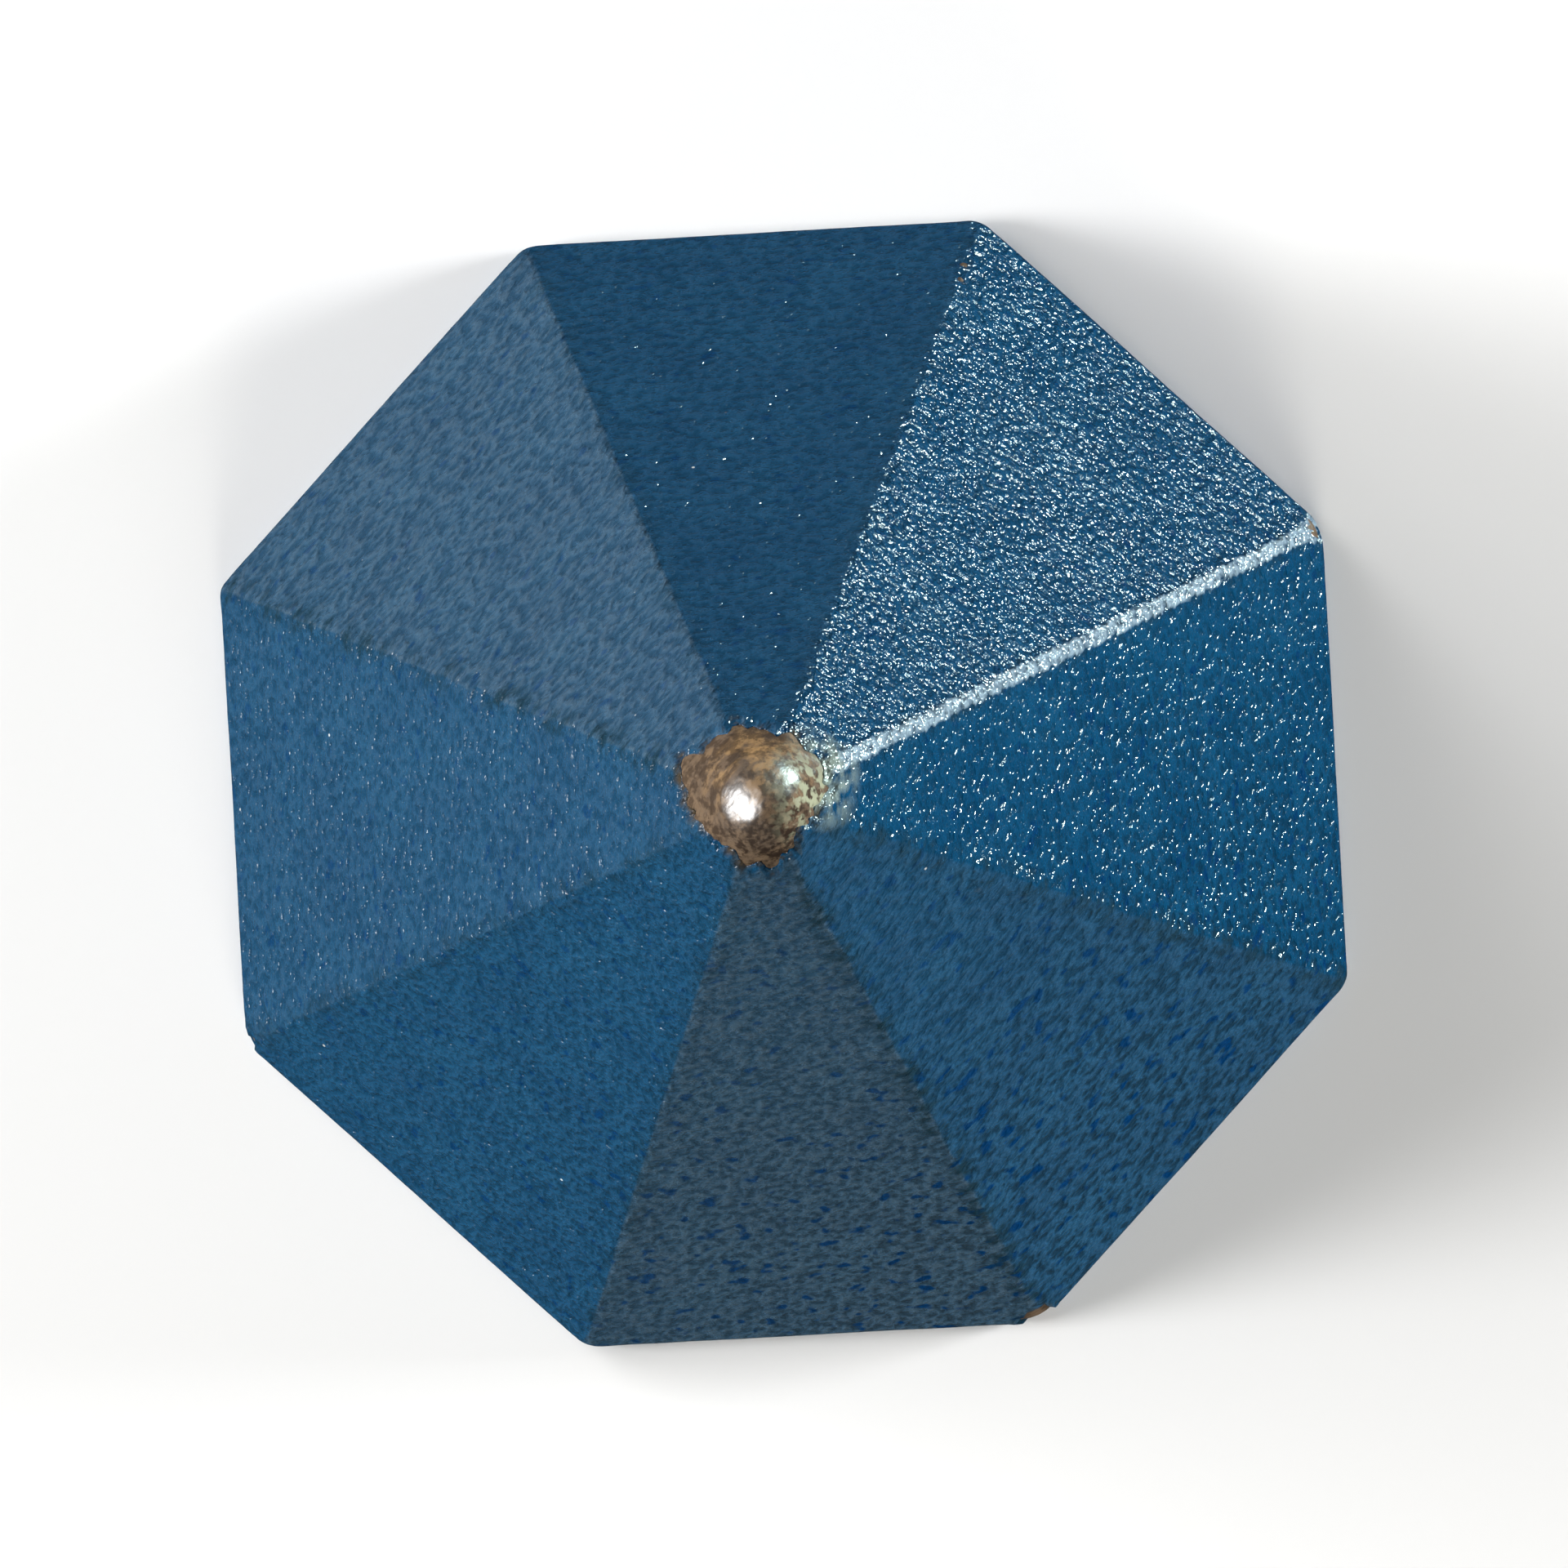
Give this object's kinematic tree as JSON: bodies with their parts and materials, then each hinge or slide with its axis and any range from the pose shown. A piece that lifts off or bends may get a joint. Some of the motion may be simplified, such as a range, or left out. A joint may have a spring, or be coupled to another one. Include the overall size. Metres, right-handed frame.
{
  "type": "painted wooden game pawn",
  "caption": "Small octagonal pyramid pawn of solid wood under blue paint, with a blunt tip worn back to bare wood and a flat resting face.",
  "frame": {"origin": "middle of the flat resting face under the foot", "axes": "+Z from the resting face to the tip, +X and +Y square to two of the sloping faces"},
  "size_m": [0.016, 0.016, 0.0127],
  "materials": {
    "bare_wood": "close-grained wood, darkened and burnished by handling where the paint is gone",
    "blue_paint": "semi-gloss blue enamel, fine bumps over the wood grain, chipped at the corners"
  },
  "bodies": {
    "root": {"wood_body": "bare_wood", "paint_coat": "blue_paint"}
  },
  "joints": []
}
